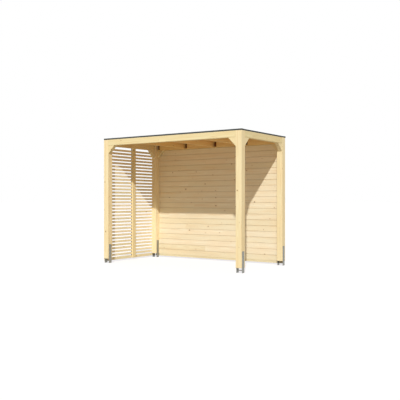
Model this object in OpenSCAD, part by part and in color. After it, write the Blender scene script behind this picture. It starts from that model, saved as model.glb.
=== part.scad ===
// Flat-roofed garden pavilion in planed softwood on galvanised post anchors.
// Open at the front and on the right, boarded at the back, slatted on the left.
// Origin: centre of the footprint on the ground. +X along the front, to the right.
// +Y from the open front to the boarded back. +Z up.

/* [Overall size] */
// Length of the post frame along the front, outside the posts
frame_length = 3000; // [2200:10:3800]
// Depth of the post frame, outside the posts
frame_depth = 1540; // [1200:10:2200]
// Height from the ground to the top of the roof edge
total_height = 2331; // [1900:1:2900]

/* [Posts and beams] */
// Side of the square corner posts
post_size = 110; // [90:1:140]
// Height of the beams, below the roof deck
beam_height = 108; // [90:1:150]
// Thickness of the beams
beam_thickness = 80; // [60:1:88]
// Length of each leg of the corner braces
brace_leg = 148; // [100:1:200]
// Distance of the braces' faces from the beams' faces
brace_setback = 4; // [0:1:15]

/* [Post anchors] */
// Height of the anchor cheeks above the ground
anchor_height = 350; // [200:1:450]
// Width of the anchor cheeks
anchor_width = 70; // [50:1:85]
// Thickness of the anchor plates
anchor_plate = 5; // [3:1:8]
// Height of the top of the web that joins the two cheeks
web_top = 44; // [25:1:60]
// Height of the post's lower end above the ground
post_bottom = 82; // [65:1:120]

/* [Rafters] */
// Width of a rafter
rafter_width = 52; // [40:1:80]
// Height of the rafters' undersides above the beams' undersides
rafter_rise = 13; // [5:1:40]
// Depth of the pockets that the rafter ends sit in
pocket_depth = 40; // [20:1:50]
// Open width of each pocket beside its rafter
pocket_play = 60; // [0:1:80]
// How far the rafters sit to the left of the bay lines
rafter_shift = 22; // [0:1:26]

/* [Roof] */
// Thickness of the roof boards
deck_thickness = 20; // [15:1:28]
// Thickness of the roofing membrane
membrane_thickness = 3; // [1:1:6]
// Thickness of the metal edge trim
trim_thickness = 3; // [1:1:4]
// Width of the trim's upper leg, which laps over the membrane
trim_lap = 60; // [30:1:120]

/* [Boarded back] */
// Thickness of the wall boards
wall_thickness = 20; // [14:1:30]
// Distance of the boards' ends from the outer faces of the posts
wall_end_inset = 20; // [0:1:60]
// Height of the underside of the base rail
base_bottom = 30; // [15:1:60]
// Height of the base rail under the boards
base_height = 35; // [20:1:60]

/* [Slatted side] */
// Thickness of the slats
slat_thickness = 20; // [14:1:30]
// Height of one slat
slat_height = 40; // [30:1:60]
// Distance from one slat to the next
slat_pitch = 62.8; // [62:0.1:120]
// Distance of the slats' front ends from the front of the posts
slat_front_inset = 30; // [0:1:60]
// Height of the underside of the bottom rail
rail_bottom = 35; // [15:1:60]
// Height of the bottom rail
rail_height = 52; // [40:1:90]
// Distance from the front of the frame to the middle post
mid_post_start = 800; // [500:1:900]
// Width of the middle post
mid_post_width = 90; // [60:1:120]
// How far the middle post stands inside the slats
mid_post_stand = 25; // [10:1:60]
// Gap between the top of the middle post and the roof edge
mid_post_head_gap = 12; // [5:1:60]

/* [Hidden] */
$fn = 32;

// The cladding lies outside the posts on the left and at the back only, so the
// frame is set over by half of it and the whole part stays centred.
left_x = (slat_thickness - frame_length) / 2;
right_x = left_x + frame_length;
front_y = -(frame_depth + wall_thickness) / 2;
back_y = front_y + frame_depth;

// Heights of the roof layers, from the underside of the boards upwards.
trim_height = deck_thickness + membrane_thickness + trim_thickness;
deck_z = total_height - trim_height;
beam_z = deck_z - beam_height;
rafter_z = beam_z + rafter_rise;

// Insides of the posts and beams.
post_left_x = left_x + post_size;
post_right_x = right_x - post_size;
post_front_y = front_y + post_size;
post_back_y = back_y - post_size;
brace_thickness = beam_thickness - 2 * brace_setback;
middle_x = (left_x + right_x) / 2;

// Roof outline, which covers the top edge of the back boards.
roof_back_y = back_y + wall_thickness;

// The bay lines divide the clear width between the posts into equal bays.
rafter_bays = 4;
rafter_pitch = (post_right_x - post_left_x) / rafter_bays;

// Slatted side.
slat_x = left_x - slat_thickness;
mid_post_y = front_y + mid_post_start;
mid_post_back_y = mid_post_y + mid_post_width;
slat_start_z = rail_bottom + rail_height + slat_pitch - slat_height;
slat_count = floor((beam_z - rail_bottom - rail_height) / slat_pitch);
mid_post_top = deck_z - mid_post_head_gap;

// A block given by its two opposite corners.
module block(low, high) {
    translate(low) cube(high - low);
}

// A corner post, rebated at its foot so that both anchor cheeks lie flush.
module corner_post(x, y) {
    cheek_y = y + (post_size - anchor_width) / 2;
    color("burlywood") difference() {
        block([x, y, post_bottom], [x + post_size, y + post_size, deck_z]);
        for (cheek_x = [x - 1, x + post_size - anchor_plate])
            translate([cheek_x, cheek_y, post_bottom - 1])
                cube([anchor_plate + 1, anchor_width, anchor_height - post_bottom + 1]);
    }
}

// An H-shaped anchor: two upright cheeks joined by a web below the post.
module post_anchor(x, y) {
    cheek_y = y + (post_size - anchor_width) / 2;
    color("darkgray") translate([x, cheek_y, 0]) {
        cube([anchor_plate, anchor_width, anchor_height]);
        translate([post_size - anchor_plate, 0, 0])
            cube([anchor_plate, anchor_width, anchor_height]);
        translate([0, 0, web_top - anchor_plate])
            cube([post_size, anchor_width, anchor_plate]);
    }
}

// A long beam between two posts, with pockets for the rafters in its inner face.
// inner_y is the beam's inner face and side is +1 where the beam lies behind it.
module pocketed_beam(y, inner_y, side) {
    pocket_y = side > 0 ? inner_y : inner_y - pocket_depth;
    spare = side > 0 ? [-1, 0] : [0, 1];
    color("wheat") difference() {
        block([post_left_x, y, beam_z], [post_right_x, y + beam_thickness, deck_z]);
        for (index = [-rafter_bays / 2 : rafter_bays / 2])
            block(
                [rafter_x(index), pocket_y + spare[0], rafter_z],
                [rafter_x(index) + rafter_width + pocket_play,
                 pocket_y + pocket_depth + spare[1], deck_z + 1]
            );
    }
}

// A short beam between two posts on one side of the frame.
module side_beam(x) {
    color("wheat") block([x, post_front_y, beam_z], [x + beam_thickness, post_back_y, deck_z]);
}

// A solid triangular brace in the angle between a post and a beam on the front or back.
module long_brace(corner_x, direction, beam_y) {
    color("tan") translate([corner_x, beam_y + brace_setback + brace_thickness, beam_z])
        rotate([90, 0, 0])
            linear_extrude(brace_thickness)
                polygon([[0, 0], [direction * brace_leg, 0], [0, -brace_leg]]);
}

// The same brace on the left or right side.
module side_brace(corner_y, direction, beam_x) {
    color("tan") translate([beam_x + brace_setback, corner_y, beam_z])
        rotate([90, 0, 90])
            linear_extrude(brace_thickness)
                polygon([[0, 0], [direction * brace_leg, 0], [0, -brace_leg]]);
}

// Left face of a rafter, counted from the one in the middle.
function rafter_x(index) = middle_x + index * rafter_pitch - rafter_width / 2 - rafter_shift;

// A rafter that drops into the pockets of the front and back beams.
module rafter(index) {
    start_y = front_y + beam_thickness - pocket_depth;
    end_y = back_y - beam_thickness + pocket_depth;
    color("peru") block([rafter_x(index), start_y, rafter_z],
                        [rafter_x(index) + rafter_width, end_y, deck_z]);
}

// Roof boards, inside the upright legs of the trim.
module roof_deck() {
    color("tan") block([left_x + trim_thickness, front_y + trim_thickness, deck_z],
                       [right_x - trim_thickness, roof_back_y - trim_thickness,
                        deck_z + deck_thickness]);
}

module roof_membrane() {
    low_z = deck_z + deck_thickness;
    color("dimgray") block([left_x + trim_thickness, front_y + trim_thickness, low_z],
                           [right_x - trim_thickness, roof_back_y - trim_thickness,
                            low_z + membrane_thickness]);
}

// Trim profile: an upright leg at the roof's edge and a leg that laps over the membrane.
module trim_profile() {
    polygon([[0, 0], [trim_thickness, 0], [trim_thickness, trim_height - trim_thickness],
             [trim_lap, trim_height - trim_thickness], [trim_lap, trim_height], [0, trim_height]]);
}

// Trim along the front or back. direction is +1 where the roof lies towards +Y.
module long_trim(y, direction) {
    color("slategray") translate([direction > 0 ? left_x : right_x, y, deck_z])
        rotate([90, 0, direction > 0 ? 90 : -90])
            linear_extrude(frame_length) trim_profile();
}

// Trim along one side, fitted between the front and back trims.
module side_trim(x, direction) {
    upright_start = front_y + trim_thickness;
    upright_end = roof_back_y - trim_thickness;
    low = direction > 0 ? x : x - trim_thickness;
    flat_low = direction > 0 ? x : x - trim_lap;
    color("slategray") {
        block([low, upright_start, deck_z],
              [low + trim_thickness, upright_end, deck_z + trim_height - trim_thickness]);
        block([flat_low, front_y + trim_lap, deck_z + trim_height - trim_thickness],
              [flat_low + trim_lap, roof_back_y - trim_lap, deck_z + trim_height]);
    }
}

// Boarded back wall, fixed to the outside of the back posts and beam.
module back_wall() {
    color("bisque") block([left_x + wall_end_inset, back_y, base_bottom + base_height],
                          [right_x - wall_end_inset, back_y + wall_thickness, deck_z]);
}

module back_base_rail() {
    color("tan") block([left_x + wall_end_inset, back_y, base_bottom],
                       [right_x - wall_end_inset, back_y + wall_thickness,
                        base_bottom + base_height]);
}

// One panel of level slats between two places along the side.
module slat_panel(start_y, end_y) {
    color("navajowhite") for (index = [0 : slat_count - 1])
        block([slat_x, start_y, slat_start_z + index * slat_pitch],
              [left_x, end_y, slat_start_z + index * slat_pitch + slat_height]);
}

module slat_rail(start_y, end_y) {
    color("tan") block([slat_x, start_y, rail_bottom], [left_x, end_y, rail_bottom + rail_height]);
}

// Middle post of the slatted side. The slats butt against it, and its outer part
// laps over the outside of the beam.
module side_middle_post() {
    color("burlywood") {
        block([slat_x, mid_post_y, rail_bottom], [left_x, mid_post_back_y, mid_post_top]);
        block([left_x, mid_post_y, rail_bottom],
              [left_x + mid_post_stand, mid_post_back_y, beam_z]);
    }
}

corner_post(left_x, front_y);  // post_front_left
corner_post(post_right_x, front_y);  // post_front_right
corner_post(left_x, post_back_y);  // post_back_left
corner_post(post_right_x, post_back_y);  // post_back_right
post_anchor(left_x, front_y);  // anchor_front_left
post_anchor(post_right_x, front_y);  // anchor_front_right
post_anchor(left_x, post_back_y);  // anchor_back_left
post_anchor(post_right_x, post_back_y);  // anchor_back_right
pocketed_beam(front_y, front_y + beam_thickness, -1);  // beam_front
pocketed_beam(back_y - beam_thickness, back_y - beam_thickness, 1);  // beam_back
side_beam(left_x);  // beam_left
side_beam(right_x - beam_thickness);  // beam_right
long_brace(post_left_x, 1, front_y);  // brace_front_left
long_brace(post_right_x, -1, front_y);  // brace_front_right
long_brace(post_left_x, 1, back_y - beam_thickness);  // brace_back_left
long_brace(post_right_x, -1, back_y - beam_thickness);  // brace_back_right
side_brace(post_front_y, 1, left_x);  // brace_left_front
side_brace(post_back_y, -1, left_x);  // brace_left_rear
side_brace(post_front_y, 1, right_x - beam_thickness);  // brace_right_front
side_brace(post_back_y, -1, right_x - beam_thickness);  // brace_right_rear
rafter(-1);  // rafter_left
rafter(0);  // rafter_middle
rafter(1);  // rafter_right
roof_deck();
roof_membrane();
long_trim(front_y, 1);  // roof_trim_front
long_trim(roof_back_y, -1);  // roof_trim_back
side_trim(left_x, 1);  // roof_trim_left
side_trim(right_x, -1);  // roof_trim_right
back_wall();
back_base_rail();
slat_panel(front_y + slat_front_inset, mid_post_y);  // slat_panel_front
slat_panel(mid_post_back_y, back_y);  // slat_panel_rear
slat_rail(front_y + slat_front_inset, mid_post_y);  // slat_rail_front
slat_rail(mid_post_back_y, back_y);  // slat_rail_rear
side_middle_post();
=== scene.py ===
"""Garden pavilion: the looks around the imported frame.

The timbers stand for the plain CAD nodes with eased edges and a solid wood grain. The back
wall, the roof and the slatted side are built board by board from their sections.
"""
import math
import random

import bmesh
import bpy
from mathutils import Matrix, Vector


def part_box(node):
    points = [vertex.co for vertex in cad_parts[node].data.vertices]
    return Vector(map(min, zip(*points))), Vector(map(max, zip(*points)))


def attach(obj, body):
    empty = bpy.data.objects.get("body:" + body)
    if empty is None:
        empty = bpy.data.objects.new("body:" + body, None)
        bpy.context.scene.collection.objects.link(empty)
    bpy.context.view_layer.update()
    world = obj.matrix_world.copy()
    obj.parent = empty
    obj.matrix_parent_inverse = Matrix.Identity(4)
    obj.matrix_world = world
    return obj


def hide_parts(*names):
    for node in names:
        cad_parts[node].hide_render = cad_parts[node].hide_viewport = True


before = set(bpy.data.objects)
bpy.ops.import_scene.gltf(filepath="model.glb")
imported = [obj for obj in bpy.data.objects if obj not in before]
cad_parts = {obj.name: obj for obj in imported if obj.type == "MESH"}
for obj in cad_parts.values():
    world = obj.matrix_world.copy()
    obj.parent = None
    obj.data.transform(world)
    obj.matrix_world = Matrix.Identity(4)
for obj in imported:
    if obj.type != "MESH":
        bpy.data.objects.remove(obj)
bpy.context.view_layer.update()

ALONG_X, ALONG_Y, ALONG_Z = Vector((1, 0, 0)), Vector((0, 1, 0)), Vector((0, 0, 1))
SEED = 7

# Camera and light. The camera is level and stands off the open corner.
CAMERA_PLACE = (6.615, -9.365, 1.179)
CAMERA_TURN = 34.56
CAMERA_LENS = 55.89
SUN_TRAVEL = (-0.563, 1.0, -0.836)
SUN_STRENGTH = 2.62
SUN_COLOUR = (0.93, 0.97, 1.0)
SUN_ANGLE = 1.2
SKY_FILL = 0.53
SKY_COLOUR = (1.0, 0.93, 0.85)
FLOOR_COLOUR = (0.42, 0.385, 0.33)
FLOOR_GLOW = 0.64
FLOOR_GLOW_COLOUR = (1.0, 1.03, 1.12)

# Boards and edges, in metres.
EASED_EDGE = 0.0035
BOARD_COUNT = 21
BOARD_CHAMFER = 0.0045
BOARD_GAP = 0.0035
TONGUE = 0.009
TONGUE_HALF = 0.003
TONGUE_PLAY = 0.0004
BUTT_GAP = 0.0006
DECK_BOARDS = 15
OUTER_SET_BACK = 0.0004


# ---------------------------------------------------------------- materials

class Tree:
    """A short way to write the nodes of one material."""

    def __init__(self, name):
        self.material = bpy.data.materials.new(name)
        self.material.use_nodes = True
        self.tree = self.material.node_tree
        self.shader = self.tree.nodes["Principled BSDF"]

    def feed(self, socket, value):
        if isinstance(value, bpy.types.NodeSocket):
            self.tree.links.new(value, socket)
        else:
            socket.default_value = value

    def node(self, kind, inputs, **settings):
        made = self.tree.nodes.new("ShaderNode" + kind)
        for key, value in settings.items():
            setattr(made, key, value)
        for key, value in inputs.items():
            self.feed(made.inputs[key], value)
        return made

    def attribute(self, name, output):
        return self.node("Attribute", {}, attribute_name=name).outputs[output]

    def math(self, operation, a, b=0.0, clamp=False):
        return self.node("Math", {0: a, 1: b}, operation=operation, use_clamp=clamp).outputs[0]

    def vector(self, operation, a, b):
        return self.node("VectorMath", {0: a, 1: b}, operation=operation).outputs[0]

    def length(self, a):
        return self.node("VectorMath", {0: a}, operation="LENGTH").outputs["Value"]

    def split(self, a):
        return self.node("SeparateXYZ", {0: a}).outputs

    def join(self, x, y, z):
        return self.node("CombineXYZ", {0: x, 1: y, 2: z}).outputs[0]

    def ramp(self, value, low, high, to_low=0.0, to_high=1.0):
        """A smooth step from to_low at low to to_high at high."""
        inputs = {"Value": value, "From Min": low, "From Max": high, "To Min": to_low, "To Max": to_high}
        return self.node("MapRange", inputs, interpolation_type="SMOOTHSTEP").outputs[0]

    def mix(self, factor, a, b, blend="MIX"):
        made = self.node("Mix", {}, data_type="RGBA", blend_type=blend)
        self.feed(made.inputs[0], factor)
        self.feed(made.inputs[6], a)
        self.feed(made.inputs[7], b)
        return made.outputs[2]

    def noise(self, vector, detail=2.0, roughness=0.5, output="Fac"):
        inputs = {"Vector": vector, "Scale": 1.0, "Detail": detail, "Roughness": roughness}
        return self.node("TexNoise", inputs).outputs[output]

    def surface(self, color, roughness, height=None, bump=0.2, depth=0.001, metal=0.0, sheen=0.5):
        self.feed(self.shader.inputs["Base Color"], color)
        self.feed(self.shader.inputs["Roughness"], roughness)
        self.feed(self.shader.inputs["Metallic"], metal)
        self.feed(self.shader.inputs["Specular IOR Level"], sheen)
        if height is not None:
            inputs = {"Strength": bump, "Distance": depth, "Height": height}
            self.feed(self.shader.inputs["Normal"], self.node("Bump", inputs).outputs[0])
        return self.material


def rgb(red, green, blue):
    """A colour given as it looks, from 0 to 255, turned into the linear value shaders use."""
    def linear(part):
        part /= 255
        return part / 12.92 if part <= 0.04045 else ((part + 0.055) / 1.055) ** 2.4
    return (linear(red), linear(green), linear(blue), 1.0)


def softwood(name, early, late, knot, ring_contrast=0.42, knot_share=0.5, knot_cell=(0.40, 0.10)):
    """Planed spruce, cut from a log: rings round a pith, fibres along it, and round knots.

    The attribute "grain" is the place in the log, x along it and y, z from its pith. "face" is
    the place on the piece's face and a number of its own. "tone" is how pale the board is.
    """
    t = Tree(name)
    grain = t.attribute("grain", "Vector")
    u, v, own = t.split(t.attribute("face", "Vector"))
    tone = t.attribute("tone", "Fac")
    end = t.attribute("end", "Fac")
    # painted_shade: how much painted shade a face carries, set on grooves and pockets.
    painted_shade = t.attribute("painted_shade", "Fac")

    # Knots: at most one in each cell of the face, round and a little long.
    cell = (*knot_cell, 1.0)
    place = t.join(
        t.math("ADD", t.math("DIVIDE", u, cell[0]), t.math("MULTIPLY", own, 3.7)),
        t.math("ADD", t.math("DIVIDE", v, cell[1]), t.math("MULTIPLY", own, 5.3)),
        0.0,
    )
    cells = t.node("TexVoronoi", {"Vector": place, "Scale": 1.0, "Randomness": 0.9},
                   voronoi_dimensions="2D")
    away = t.vector("MULTIPLY", t.vector("SUBTRACT", place, cells.outputs["Position"]),
                    (cell[0] * 0.8, cell[1], 0.0))
    chance, size, _ = t.split(cells.outputs["Color"])
    radius = t.math("ADD", t.math("MULTIPLY", t.math("POWER", size, 2.0), 0.007), 0.003)
    absent = t.math("MULTIPLY", t.math("GREATER_THAN", chance, knot_share), 50.0)
    ragged = t.noise(t.vector("MULTIPLY", grain, (90, 90, 90)))
    wobble = t.math("MULTIPLY", t.math("SUBTRACT", ragged, 0.5), 0.5)
    reach = t.math("ADD", t.math("ADD", t.math("DIVIDE", t.length(away), radius), absent), wobble)
    core = t.ramp(reach, 0.75, 1.1, 1.0, 0.0)
    bark = t.math("MULTIPLY", t.ramp(reach, 0.7, 0.95), t.ramp(reach, 1.0, 1.35, 1.0, 0.0))
    halo = t.ramp(reach, 0.9, 4.5, 1.0, 0.0)

    # Rings, bent a little by the log's growth and pushed aside by the knots.
    sway = t.noise(t.vector("MULTIPLY", grain, (0.9, 7.0, 7.0)), output="Color")
    swayed = t.vector("ADD", grain, t.vector("MULTIPLY", t.vector("SUBTRACT", sway, (0.5, 0.5, 0.5)),
                                             (0.0, 0.020, 0.020)))
    from_pith = t.length(t.vector("MULTIPLY", swayed, (0.0, 1.0, 1.0)))
    pushed = t.math("ADD", from_pith, t.math("MULTIPLY", halo, 0.008))
    phase = t.math("FRACT", t.math("DIVIDE", pushed, 0.0036))
    ring = t.math("MULTIPLY", t.ramp(phase, 0.25, 0.9), t.ramp(phase, 0.93, 1.0, 1.0, 0.0))

    fibre = t.noise(t.vector("MULTIPLY", grain, (14.0, 900.0, 900.0)), detail=3.0)
    streak = t.noise(t.vector("MULTIPLY", grain, (1.1, 34.0, 34.0)), detail=3.0, roughness=0.6)
    patch = t.noise(t.vector("MULTIPLY", grain, (2.2, 9.0, 9.0)), detail=1.0)

    dark = t.math("ADD", t.math("MULTIPLY", ring, ring_contrast),
                  t.math("MULTIPLY", t.ramp(streak, 0.45, 0.8), 0.30))
    dark = t.math("ADD", dark, t.math("MULTIPLY", t.math("SUBTRACT", fibre, 0.5), 0.30))
    dark = t.math("ADD", dark, t.math("MULTIPLY", halo, 0.16), clamp=True)
    color = t.mix(dark, early, late)
    warm = t.math("MULTIPLY", t.ramp(patch, 0.35, 0.75), 0.35)
    color = t.mix(warm, color, t.mix(1.0, color, rgb(255, 242, 226), "MULTIPLY"))
    level = t.math("ADD", t.math("MULTIPLY", tone, 0.055), 1.0)
    color = t.mix(1.0, color, t.join(level, level, t.math("MULTIPLY", level, level)), "MULTIPLY")
    color = t.mix(t.math("MULTIPLY", core, 0.85), color, knot)
    color = t.mix(t.math("MULTIPLY", bark, 0.55), color, rgb(92, 58, 30))
    color = t.mix(t.math("MULTIPLY", end, 0.45), color, t.mix(1.0, color, rgb(214, 190, 160), "MULTIPLY"))
    # Painted shade: grooves and pockets are darkened towards brown, standing in for the shade that falls
    # in them.
    color = t.mix(painted_shade, color, t.mix(1.0, color, rgb(120, 80, 50), "MULTIPLY"))

    height = t.math("ADD", t.math("MULTIPLY", ring, -0.5), t.math("MULTIPLY", fibre, 0.7))
    height = t.math("ADD", height, t.math("MULTIPLY", core, 0.8))
    roughness = t.math("ADD", 0.56, t.math("MULTIPLY", fibre, 0.16))
    return t.surface(color, roughness, height, bump=0.25, depth=0.0006, sheen=0.3)


def galvanised():
    """Hot-dip galvanised steel: zinc flowers of slightly different grey, dull and mottled."""
    t = Tree("galvanised_steel")
    place = t.node("TexCoord", {}).outputs["Object"]
    flowers = t.node("TexVoronoi", {"Vector": place, "Scale": 85.0})
    tint, other, _ = t.split(flowers.outputs["Color"])
    mottle = t.noise(t.vector("MULTIPLY", place, (18.0, 18.0, 18.0)), detail=4.0, roughness=0.6)
    shade = t.math("ADD", t.math("MULTIPLY", tint, 0.35), t.math("MULTIPLY", mottle, 0.65))
    color = t.mix(shade, rgb(128, 130, 126), rgb(176, 176, 168))
    roughness = t.math("ADD", 0.38, t.math("MULTIPLY", other, 0.2))
    return t.surface(color, roughness, mottle, bump=0.15, depth=0.0004, metal=0.75)


def zinc_screw():
    t = Tree("zinc_screw")
    place = t.node("TexCoord", {}).outputs["Object"]
    cloud = t.noise(t.vector("MULTIPLY", place, (260.0, 260.0, 260.0)), detail=2.0)
    color = t.mix(cloud, rgb(132, 130, 124), rgb(186, 183, 172))
    return t.surface(color, t.math("ADD", 0.3, t.math("MULTIPLY", cloud, 0.2)), metal=0.85)


def edge_sheet():
    """Grey coated sheet with faint rolling marks and dust."""
    t = Tree("edge_sheet")
    place = t.node("TexCoord", {}).outputs["Object"]
    dust = t.noise(t.vector("MULTIPLY", place, (5.0, 5.0, 30.0)), detail=4.0, roughness=0.6)
    fine = t.noise(t.vector("MULTIPLY", place, (60.0, 60.0, 500.0)), detail=2.0)
    color = t.mix(t.ramp(dust, 0.3, 0.75), rgb(60, 65, 67), rgb(76, 80, 78))
    roughness = t.math("ADD", 0.55, t.math("MULTIPLY", dust, 0.2))
    return t.surface(color, roughness, fine, bump=0.1, depth=0.0003, sheen=0.25)


def mineral_felt():
    """Roofing sheet with crushed slate: dark grains, some pale, and weathered patches."""
    t = Tree("mineral_felt")
    place = t.node("TexCoord", {}).outputs["Object"]
    grains = t.node("TexVoronoi", {"Vector": place, "Scale": 420.0})
    pick, lift, _ = t.split(grains.outputs["Color"])
    weather = t.noise(t.vector("MULTIPLY", place, (2.4, 2.4, 2.4)), detail=5.0, roughness=0.6)
    color = t.mix(pick, rgb(52, 55, 57), rgb(104, 107, 107))
    color = t.mix(t.math("MULTIPLY", t.ramp(pick, 0.93, 0.97), 0.7), color, rgb(165, 165, 158))
    color = t.mix(t.math("MULTIPLY", t.ramp(weather, 0.4, 0.75), 0.35), color, rgb(112, 112, 104))
    return t.surface(color, 0.92, lift, bump=0.5, depth=0.0012, sheen=0.25)


WOOD = {
    "frame_timber": softwood("frame_wood", rgb(250, 234, 188), rgb(224, 188, 124), rgb(156, 106, 60),
                             knot_share=0.42, knot_cell=(0.46, 0.10)),
    # The rafters and the back beam sit in the roof's shade: their spruce colour is deeper and more orange
    # than the frame's, part wood colour and part painted warm bounce light.
    "timber_with_painted_bounce": softwood("rafter_wood", rgb(254, 226, 162), rgb(230, 174, 100), rgb(150, 92, 46),
                            knot_share=0.42, knot_cell=(0.46, 0.10)),
    "wall_boards": softwood("board_wood", rgb(251, 239, 208), rgb(228, 196, 146), rgb(158, 108, 62),
                            knot_share=0.5, knot_cell=(0.42, 0.105)),
    "slats": softwood("slat_wood", rgb(254, 242, 206), rgb(232, 202, 146), rgb(168, 118, 72),
                      knot_share=0.3, knot_cell=(0.5, 0.05)),
    # The roof boards' colour is likewise part wood colour and part painted warm bounce light from the
    # shade under the roof.
    "roof_boards": softwood("roof_wood_painted_bounce", rgb(254, 214, 142), rgb(228, 162, 88), rgb(146, 88, 42),
                            knot_share=0.5, knot_cell=(0.42, 0.105)),
}
METAL = {
    "galvanised_steel": galvanised(),
    "zinc_screw": zinc_screw(),
    "edge_trim": edge_sheet(),
    "roof_membrane": mineral_felt(),
}


# ---------------------------------------------------------------- meshes

class Wood:
    """Gives the faces of a piece of timber their place in the log that it was cut from."""

    def __init__(self, bm, rng):
        self.bm = bm
        self.rng = rng
        self.grain = bm.loops.layers.float_vector.new("grain")
        self.face = bm.loops.layers.float_vector.new("face")
        self.tone = bm.loops.layers.float.new("tone")
        self.end = bm.loops.layers.float.new("end")
        # Painted shade for grooves and pockets, read by the wood shader.
        self.painted_shade = bm.loops.layers.float.new("painted_shade")

    def mark(self, faces, along, centre, heart, tone_spread=1.0):
        """along is the grain's direction and heart how far the pith lies from the centre."""
        rng = self.rng
        side = ALONG_Z.cross(along).normalized() if abs(along.z) < 0.9 else ALONG_X
        up = along.cross(side).normalized()
        turn = rng.uniform(0, 2 * math.pi)
        pith = heart * Vector((0, math.cos(turn), math.sin(turn)))
        shift = rng.uniform(0, 40)
        tone = max(-1.6, min(1.6, rng.gauss(0, 0.7))) * tone_spread
        numbers = {key: rng.uniform(0, 40) for key in ("side+", "side-", "up+", "up-", "end")}
        for face in faces:
            face.normal_update()
            n = face.normal
            parts = {"end": abs(n.dot(along)), "side": abs(n.dot(side)), "up": abs(n.dot(up))}
            facing = max(parts, key=parts.get)
            outward = n.dot({"end": along, "side": side, "up": up}[facing])
            key = facing if facing == "end" else facing + ("+" if outward > 0 else "-")
            for loop in face.loops:
                p = loop.vert.co - centre
                a, s, u = p.dot(along), p.dot(side), p.dot(up)
                loop[self.grain] = Vector((a + shift, s, u)) + pith
                across = {"end": s, "side": u, "up": s}[facing]
                length = u if facing == "end" else a
                loop[self.face] = Vector((length, across, numbers[key]))
                loop[self.tone] = tone
                loop[self.end] = 1.0 if facing == "end" else 0.0

    def paint_groove_shade(self, faces, thickness, amount=0.22):
        """Painted shade in the grooves and on their chamfers: every long face that isn't square to the
        thickness.
        """
        for face in faces:
            if len(face.verts) == 4 and abs(face.normal.dot(thickness)) < 0.99:
                for loop in face.loops:
                    loop[self.painted_shade] = amount

    def paint_pocket_shade(self, low, high, clear=0.008):
        """Painted shade in sawn pockets: every face that lies well inside the timber's own box."""
        for face in self.bm.faces:
            middle = face.calc_center_median()
            if all(l + clear < m < h - clear for l, m, h in zip(low, middle, high)):
                for loop in face.loops:
                    loop[self.painted_shade] = 1.0


def finish_piece(bm, name, material, replaced=(), smooth=False):
    """Turns the mesh into an object that rides on the frame."""
    bmesh.ops.recalc_face_normals(bm, faces=bm.faces)
    mesh = bpy.data.meshes.new(name)
    bm.to_mesh(mesh)
    bm.free()
    for polygon in mesh.polygons:
        polygon.use_smooth = smooth
    mesh.materials.append(material)
    piece = bpy.data.objects.new(name, mesh)
    bpy.context.scene.collection.objects.link(piece)
    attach(piece, "root")
    if replaced:
        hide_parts(*replaced)
    return piece


def copy_node(node):
    """The CAD node's shape with whole faces, as a mesh of its own."""
    bm = bmesh.new()
    bm.from_mesh(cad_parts[node].data)
    bmesh.ops.remove_doubles(bm, verts=bm.verts, dist=1e-5)
    bmesh.ops.dissolve_limit(bm, angle_limit=math.radians(1), verts=bm.verts, edges=bm.edges)
    return bm


def ease(bm, width, segments=3):
    """Rounds every outer edge of the mesh."""
    sharp = [e for e in bm.edges if e.is_convex and e.calc_face_angle(0) > math.radians(30)]
    bmesh.ops.bevel(bm, geom=sharp, offset=width, segments=segments, profile=0.5,
                    affect="EDGES", clamp_overlap=True)


def timber(node, along, rng, slot="frame_timber", look=None, width=EASED_EDGE, heart=(0.02, 0.07),
           with_pocket_shade=False):
    """A CAD timber with eased edges and its grain along the given direction."""
    low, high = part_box(node)
    bm = copy_node(node)
    ease(bm, width)
    wood = Wood(bm, rng)
    wood.mark(bm.faces, along, (low + high) / 2, rng.uniform(*heart))
    # Painted shade: the pockets' faces are darkened to stand for the shade inside them.
    if with_pocket_shade:
        wood.paint_pocket_shade(low, high)
    return finish_piece(bm, node + "_wood", WOOD[look or slot], [node])


def extrude(bm, section, along, place, start, end):
    """A bar of the given section. section is a list of points across the bar, as vectors."""
    rings = []
    for at in (start, end):
        rings.append([bm.verts.new(place + point + along * at) for point in section])
    faces = [bm.faces.new(rings[0][::-1]), bm.faces.new(rings[1])]
    for i in range(len(section)):
        j = (i + 1) % len(section)
        faces.append(bm.faces.new((rings[0][i], rings[0][j], rings[1][j], rings[1][i])))
    return faces


def rounded_section(across, up, width, height, radius, steps=3):
    """A rectangle from the origin with round corners, in the plane of across and up."""
    points = []
    for cx, cy, first in ((width - radius, radius, -90), (width - radius, height - radius, 0),
                          (radius, height - radius, 90), (radius, radius, 180)):
        for k in range(steps + 1):
            angle = math.radians(first + 90 * k / steps)
            points.append(across * (cx + radius * math.cos(angle)) + up * (cy + radius * math.sin(angle)))
    return points


def board_section(across, up, width, height, bevel_outside=True):
    """A tongue and groove board: across is its thickness, and its tongue points up."""
    c, middle, top = BOARD_CHAMFER, width / 2, height - BOARD_GAP
    groove = TONGUE_HALF + TONGUE_PLAY
    outer = c if bevel_outside else 0.0004
    points = [
        (0, c), (c, 0), (middle - groove, 0), (middle - groove, TONGUE + 0.001),
        (middle + groove, TONGUE + 0.001), (middle + groove, 0), (width - outer, 0), (width, outer),
        (width, top - outer), (width - outer, top), (middle + TONGUE_HALF, top),
        (middle + TONGUE_HALF, top + TONGUE), (middle - TONGUE_HALF, top + TONGUE),
        (middle - TONGUE_HALF, top), (c, top), (0, top - c),
    ]
    return [across * a + up * b for a, b in points]


def lengths(start, end, joints):
    """The stretches between start and end that the joints leave, a hair apart."""
    stops = [start, *sorted(joints), end]
    pairs = zip(stops, stops[1:])
    return [(a + (BUTT_GAP / 2 if a != start else 0), b - (BUTT_GAP / 2 if b != end else 0))
            for a, b in pairs]


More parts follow.
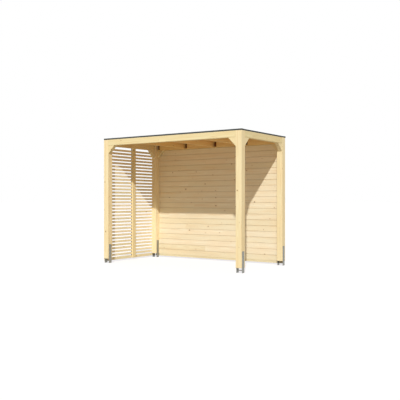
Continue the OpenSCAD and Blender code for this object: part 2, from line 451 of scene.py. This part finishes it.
def screw_head(bm, place, out, radius=0.0045, dish=0.0004):
    """A flush countersunk head with a small cross-shaped hollow at its middle."""
    side = out.orthogonal().normalized()
    up = out.cross(side)
    rim, hollow = [], []
    for k in range(16):
        angle = math.pi * k / 8
        spoke = side * math.cos(angle) + up * math.sin(angle)
        rim.append(bm.verts.new(place + spoke * radius))
        inner = radius * (0.55 if k % 4 == 0 else 0.22)
        hollow.append(bm.verts.new(place + spoke * inner))
    floor = [bm.verts.new(v.co - out * dish * 4) for v in hollow]
    for k in range(16):
        j = (k + 1) % 16
        bm.faces.new((rim[k], rim[j], hollow[j], hollow[k]))
        bm.faces.new((hollow[k], hollow[j], floor[j], floor[k]))
    bm.faces.new(floor)
    skirt = [bm.verts.new(v.co - out * 0.0015) for v in rim]
    for k in range(16):
        j = (k + 1) % 16
        bm.faces.new((rim[j], rim[k], skirt[k], skirt[j]))
    bm.faces.new(skirt[::-1])


# ---------------------------------------------------------------- the pavilion

def build_timbers(rng):
    for place in ("front_left", "front_right", "back_left", "back_right"):
        timber("post_" + place, ALONG_Z, rng, heart=(0.01, 0.05))
    # The beams' rafter pockets get painted shade.
    timber("beam_front", ALONG_X, rng, with_pocket_shade=True)
    timber("beam_back", ALONG_X, rng, look="timber_with_painted_bounce", with_pocket_shade=True)
    timber("beam_left", ALONG_Y, rng)
    timber("beam_right", ALONG_Y, rng)
    for place in ("left", "middle", "right"):
        timber("rafter_" + place, ALONG_Y, rng, look="timber_with_painted_bounce")
    for node, along in (
        ("brace_front_left", (1, 0, 1)), ("brace_front_right", (-1, 0, 1)),
        ("brace_back_left", (1, 0, 1)), ("brace_back_right", (-1, 0, 1)),
        ("brace_left_front", (0, 1, 1)), ("brace_left_rear", (0, -1, 1)),
        ("brace_right_front", (0, 1, 1)), ("brace_right_rear", (0, -1, 1)),
    ):
        timber(node, Vector(along).normalized(), rng, width=0.0025)
    timber("slat_rail_front", ALONG_Y, rng, "slats", width=0.0025)
    timber("slat_rail_rear", ALONG_Y, rng, "slats", width=0.0025)
    timber("back_base_rail", ALONG_X, rng, "wall_boards", width=0.0025)


def build_back_wall(rng):
    """Tongue and groove boards, one above the other, a few of them in two lengths."""
    low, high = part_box("back_wall")
    pitch = (high.z - low.z) / BOARD_COUNT
    bm = bmesh.new()
    wood = Wood(bm, rng)
    thickness = high.y - low.y - OUTER_SET_BACK
    section = board_section(ALONG_Y, ALONG_Z, thickness, pitch)
    last = board_section(ALONG_Y, ALONG_Z, thickness, pitch - TONGUE)
    span = high.x - low.x
    for course in range(BOARD_COUNT):
        bottom = Vector((0, low.y, low.z + course * pitch))
        joints = [low.x + span * rng.uniform(0.25, 0.75)] if course % 4 == 1 else []
        for start, end in lengths(low.x, high.x, joints):
            shape = last if course == BOARD_COUNT - 1 else section
            faces = extrude(bm, shape, ALONG_X, bottom, start, end)
            centre = bottom + Vector(((start + end) / 2, thickness / 2, pitch / 2))
            wood.mark(faces, ALONG_X, centre, rng.uniform(0.03, 0.09), tone_spread=0.5)
            # Painted shade in the boards' grooves.
            wood.paint_groove_shade(faces, ALONG_Y)
    finish_piece(bm, "back_wall_boards", WOOD["wall_boards"], ["back_wall"])


def build_roof_boards(rng):
    low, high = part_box("roof_deck")
    pitch = (high.y - low.y) / DECK_BOARDS
    rafters = [sum((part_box("rafter_" + p)[0].x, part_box("rafter_" + p)[1].x)) / 2
               for p in ("left", "middle", "right")]
    bm = bmesh.new()
    wood = Wood(bm, rng)
    section = board_section(ALONG_Z, ALONG_Y, high.z - low.z, pitch, bevel_outside=False)
    last = board_section(ALONG_Z, ALONG_Y, high.z - low.z, pitch - TONGUE, bevel_outside=False)
    for row in range(DECK_BOARDS):
        front = Vector((0, low.y + row * pitch, low.z))
        joints = [rafters[rng.randrange(3)]] if row % 3 == 1 else []
        for start, end in lengths(low.x, high.x, joints):
            shape = last if row == DECK_BOARDS - 1 else section
            faces = extrude(bm, shape, ALONG_X, front, start, end)
            centre = front + Vector(((start + end) / 2, pitch / 2, 0.01))
            wood.mark(faces, ALONG_X, centre, rng.uniform(0.03, 0.09), tone_spread=0.5)
            # Painted shade in the boards' grooves.
            wood.paint_groove_shade(faces, ALONG_Z)
    finish_piece(bm, "roof_boards", WOOD["roof_boards"], ["roof_deck"])


def slat_heights(node):
    """The undersides of the CAD node's slats, and one slat's height."""
    levels = sorted({round(v.co.z, 5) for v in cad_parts[node].data.vertices})
    return levels[0::2], levels[1] - levels[0]


def build_slats(node, rng):
    low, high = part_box(node)
    undersides, height = slat_heights(node)
    bm = bmesh.new()
    wood = Wood(bm, rng)
    section = rounded_section(ALONG_X, ALONG_Z, high.x - low.x - OUTER_SET_BACK, height, EASED_EDGE)
    for underside in undersides:
        place = Vector((low.x + OUTER_SET_BACK, 0, underside))
        faces = extrude(bm, section[::-1], ALONG_Y, place, low.y, high.y)
        centre = place + Vector((0.01, (low.y + high.y) / 2, height / 2))
        wood.mark(faces, ALONG_Y, centre, rng.uniform(0.02, 0.08))
    finish_piece(bm, node + "_wood", WOOD["slats"], [node])


def build_middle_post(rng):
    """The post between the slat panels. Its outer part is grooved for the slats' ends."""
    low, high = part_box("side_middle_post")
    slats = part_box("slat_panel_front")[1].x
    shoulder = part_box("beam_left")[0].z
    groove, cheek = 0.014, 0.003
    outline = [(low.x, low.y), (low.x, high.y)]
    outline += [(low.x + cheek, high.y), (low.x + cheek, high.y - groove)]
    outline += [(slats - cheek, high.y - groove), (slats - cheek, high.y)]
    outline += [(slats, high.y), (slats, low.y)]
    outline += [(slats - cheek, low.y), (slats - cheek, low.y + groove)]
    outline += [(low.x + cheek, low.y + groove), (low.x + cheek, low.y)]
    bm = bmesh.new()
    wood = Wood(bm, rng)
    faces = extrude(bm, [Vector((x, y, 0)) for x, y in outline], ALONG_Z, Vector(), low.z, high.z)
    inner = rounded_section(ALONG_X, ALONG_Y, high.x - slats, high.y - low.y, EASED_EDGE)
    faces += extrude(bm, inner, ALONG_Z, Vector((slats, low.y, 0)), low.z, shoulder)
    wood.mark(faces, ALONG_Z, (low + high) / 2, 0.03)
    # Painted shade: the groove's inner faces are darkened to stand for the deep shade between the slats'
    # ends.
    for face in faces:
        middle = face.calc_center_median()
        sunk = low.y + cheek < middle.y < high.y - cheek and middle.x < slats - 0.001
        if sunk and low.x + 0.001 < middle.x and abs(face.normal.z) < 0.5:
            for loop in face.loops:
                loop[wood.painted_shade] = 1.0
    finish_piece(bm, "side_middle_post_wood", WOOD["frame_timber"],
                 ["side_middle_post"])


def build_membrane():
    """Two lengths of roofing sheet, the rear one lapping over the front one."""
    low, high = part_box("roof_membrane")
    lap_start, lap_end = low.y + 0.92, low.y + 1.0
    single, double = low.z + 0.0018, low.z + 0.0029
    bm = bmesh.new()
    points = [(low.y, low.z), (high.y, low.z), (high.y, single), (lap_end + 0.02, single),
              (lap_end, double), (lap_start + 0.0015, double), (lap_start, double - 0.0006),
              (lap_start, single), (low.y, single)]
    section = [Vector((0, y, z)) for y, z in points]
    extrude(bm, section, ALONG_X, Vector((0, 0, 0)), low.x, high.x)
    finish_piece(bm, "roof_felt", METAL["roof_membrane"], ["roof_membrane"])


def trim_section(inward, height, lap, sheet=0.0012, hem=0.009, fold=0.0025):
    """Folded sheet: a hem at the foot, an upright, and a leg that laps over the roof."""
    points = [(0, 0), (2 * sheet, 0), (2 * sheet, hem), (sheet, hem + 0.001), (sheet, height - sheet),
              (lap, height - sheet), (lap, height)]
    points += [(fold - fold * math.sin(math.radians(a)), height - fold + fold * math.cos(math.radians(a)))
               for a in range(0, 91, 18)]
    return [inward * a + ALONG_Z * b for a, b in points]


def build_trims():
    """The edge trims, and the flat nails that hold their upper legs."""
    nails = bmesh.new()
    nail_rise, nail_pitch, under = 0.0004, 0.25, 0.0014
    for side, along, inward in (("front", ALONG_X, ALONG_Y), ("back", ALONG_X, -ALONG_Y),
                                ("left", ALONG_Y, ALONG_X), ("right", ALONG_Y, -ALONG_X)):
        node = "roof_trim_" + side
        low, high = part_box(node)
        lap = min(high.x - low.x, high.y - low.y)
        foot = Vector((low.x if inward.x > 0 else high.x, low.y if inward.y > 0 else high.y, low.z))
        foot -= along * foot.dot(along)
        bm = bmesh.new()
        # The side trims end under the front and back ones.
        tucked = under if along == ALONG_Y else 0.0
        section = trim_section(inward, high.z - low.z - nail_rise - tucked, lap)
        extrude(bm, section, along, foot, low.dot(along) + tucked, high.dot(along) - tucked)
        ends = [f for f in bm.faces if len(f.verts) > 4]
        bmesh.ops.triangulate(bm, faces=ends)
        finish_piece(bm, node + "_sheet", METAL["edge_trim"], [node])
        reach = high.dot(along) - low.dot(along)
        count = round(reach / nail_pitch)
        for k in range(count):
            at = low.dot(along) + reach * (k + 0.5) / count
            top = foot + along * at + inward * lap * 0.7 + ALONG_Z * (high.z - low.z - tucked)
            screw_head(nails, top, ALONG_Z, radius=0.005, dish=0.0001)
    finish_piece(nails, "trim_nails", METAL["zinc_screw"])


def build_anchors():
    """The anchors with eased edges and countersunk holes, and the screws in the holes."""
    screws = bmesh.new()
    radius, depth = 0.0055, 0.0032
    for place in ("front_left", "front_right", "back_left", "back_right"):
        node = "anchor_" + place
        low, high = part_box(node)
        cutters = bmesh.new()
        middle = (low + high) / 2
        for face_x, out in ((low.x, -ALONG_X), (high.x, ALONG_X)):
            for k, z in enumerate((0.13, 0.205, 0.28)):
                y = middle.y + (0.016 if k % 2 else -0.016)
                hole = Vector((face_x, y, z))
                turn = out.to_track_quat("Z", "Y").to_matrix().to_4x4()
                matrix = Matrix.Translation(hole - out * (depth / 2 - 0.0005)) @ turn
                bmesh.ops.create_cone(cutters, cap_ends=True, segments=24, radius1=radius * 0.55,
                                      radius2=radius * 1.1, depth=depth + 0.001, matrix=matrix)
                screw_head(screws, hole - out * 0.0008, out, radius=radius * 0.93)
        cutter_mesh = bpy.data.meshes.new("cutter")
        cutters.to_mesh(cutter_mesh)
        cutters.free()
        cutter = bpy.data.objects.new("cutter", cutter_mesh)
        bpy.context.scene.collection.objects.link(cutter)
        bm = copy_node(node)
        ease(bm, 0.0008, 2)
        piece = finish_piece(bm, node + "_steel", METAL["galvanised_steel"], [node])
        cut = piece.modifiers.new("holes", "BOOLEAN")
        cut.operation, cut.solver, cut.object = "DIFFERENCE", "EXACT", cutter
        graph = bpy.context.evaluated_depsgraph_get()
        cut_mesh = bpy.data.meshes.new_from_object(piece.evaluated_get(graph))
        piece.modifiers.clear()
        piece.data = cut_mesh
        bpy.data.objects.remove(cutter)
    finish_piece(screws, "anchor_screws", METAL["zinc_screw"])


def build_fixings():
    """Screws through the slats and boards into the posts."""
    bm = bmesh.new()
    post_y = {p: (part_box("post_" + p)[0].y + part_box("post_" + p)[1].y) / 2
              for p in ("front_left", "back_left")}
    for node, place in (("slat_panel_front", "front_left"), ("slat_panel_rear", "back_left")):
        undersides, height = slat_heights(node)
        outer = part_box(node)[0].x
        for underside in undersides:
            for shift in (-0.015, 0.015):
                y = post_y[place] + shift
                screw_head(bm, Vector((outer, y, underside + height / 2 + shift * 0.5)), -ALONG_X)
    low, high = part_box("back_wall")
    pitch = (high.z - low.z) / BOARD_COUNT
    for place in ("back_left", "back_right"):
        x = (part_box("post_" + place)[0].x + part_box("post_" + place)[1].x) / 2
        for course in range(BOARD_COUNT):
            for share in (0.28, 0.72):
                z = low.z + pitch * (course + share)
                screw_head(bm, Vector((x + (share - 0.5) * 0.03, high.y, z)), ALONG_Y)
    finish_piece(bm, "cladding_screws", METAL["zinc_screw"])


def build_brace_screws():
    """Two countersunk screws in the sloping face of each brace."""
    bm = bmesh.new()
    for node, inward in (
        ("brace_front_left", (1, 0, -1)), ("brace_front_right", (-1, 0, -1)),
        ("brace_back_left", (1, 0, -1)), ("brace_back_right", (-1, 0, -1)),
        ("brace_left_front", (0, 1, -1)), ("brace_left_rear", (0, -1, -1)),
        ("brace_right_front", (0, 1, -1)), ("brace_right_rear", (0, -1, -1)),
    ):
        low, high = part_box(node)
        out = Vector(inward).normalized()
        thick = ALONG_Y if inward[0] else ALONG_X
        slope = out.cross(thick).normalized()
        leg = high.z - low.z
        for share in (-0.22, 0.22):
            place = (low + high) / 2 + slope * leg * share + out * 0.0002
            screw_head(bm, place, out, radius=0.005)
    finish_piece(bm, "brace_screws", METAL["zinc_screw"])


# ---------------------------------------------------------------- stage

def seen_white(tree, unseen, seen, strength_input):
    """Gives camera, gloss and glass rays the strength seen, and all other rays unseen."""
    path = tree.nodes.new("ShaderNodeLightPath")
    either = tree.nodes.new("ShaderNodeMath")
    either.operation = "MAXIMUM"
    tree.links.new(path.outputs["Is Camera Ray"], either.inputs[0])
    tree.links.new(path.outputs["Is Glossy Ray"], either.inputs[1])
    every = tree.nodes.new("ShaderNodeMath")
    every.operation = "MAXIMUM"
    tree.links.new(either.outputs[0], every.inputs[0])
    tree.links.new(path.outputs["Is Transmission Ray"], every.inputs[1])
    span = tree.nodes.new("ShaderNodeMapRange")
    span.inputs["To Min"].default_value = unseen
    span.inputs["To Max"].default_value = seen
    tree.links.new(every.outputs[0], span.inputs["Value"])
    tree.links.new(span.outputs[0], strength_input)
    return every.outputs[0]


def build_stage():
    scene = bpy.context.scene
    world = bpy.data.worlds.new("studio")
    scene.world = world
    world.use_nodes = True
    background = world.node_tree.nodes["Background"]
    seen = seen_white(world.node_tree, SKY_FILL, 1.0, background.inputs["Strength"])
    warm = world.node_tree.nodes.new("ShaderNodeMix")
    warm.data_type = "RGBA"
    warm.inputs[6].default_value = (*SKY_COLOUR, 1)
    warm.inputs[7].default_value = (1, 1, 1, 1)
    world.node_tree.links.new(seen, warm.inputs[0])
    world.node_tree.links.new(warm.outputs[2], background.inputs["Color"])

    bm = bmesh.new()
    bmesh.ops.create_grid(bm, x_segments=1, y_segments=1, size=200)
    mesh = bpy.data.meshes.new("floor")
    bm.to_mesh(mesh)
    bm.free()
    floor = bpy.data.objects.new("floor", mesh)
    scene.collection.objects.link(floor)
    material = bpy.data.materials.new("pale_floor")
    material.use_nodes = True
    tree = material.node_tree
    shader = tree.nodes["Principled BSDF"]
    shader.inputs["Base Color"].default_value = (*FLOOR_COLOUR, 1)
    shader.inputs["Roughness"].default_value = 0.9
    shader.inputs["Specular IOR Level"].default_value = 0.0
    shader.inputs["Emission Color"].default_value = (*FLOOR_GLOW_COLOUR, 1)
    seen_white(tree, 0.0, FLOOR_GLOW, shader.inputs["Emission Strength"])
    mesh.materials.append(material)

    lamp = bpy.data.lights.new("sun", "SUN")
    lamp.energy = SUN_STRENGTH
    lamp.color = SUN_COLOUR
    lamp.angle = math.radians(SUN_ANGLE)
    sun = bpy.data.objects.new("sun", lamp)
    sun.rotation_euler = Vector(SUN_TRAVEL).to_track_quat("-Z", "Y").to_euler()
    scene.collection.objects.link(sun)

    eye = bpy.data.cameras.new("camera")
    eye.lens = CAMERA_LENS
    eye.clip_end = 500
    camera = bpy.data.objects.new("camera", eye)
    camera.location = CAMERA_PLACE
    camera.rotation_euler = (math.radians(90), 0, math.radians(CAMERA_TURN))
    scene.collection.objects.link(camera)
    scene.camera = camera
    scene.view_settings.view_transform = "Standard"


rng = random.Random(SEED)
build_stage()
build_timbers(rng)
build_back_wall(rng)
build_roof_boards(rng)
build_slats("slat_panel_front", rng)
build_slats("slat_panel_rear", rng)
build_middle_post(rng)
build_membrane()
build_trims()
build_anchors()
build_fixings()
build_brace_screws()
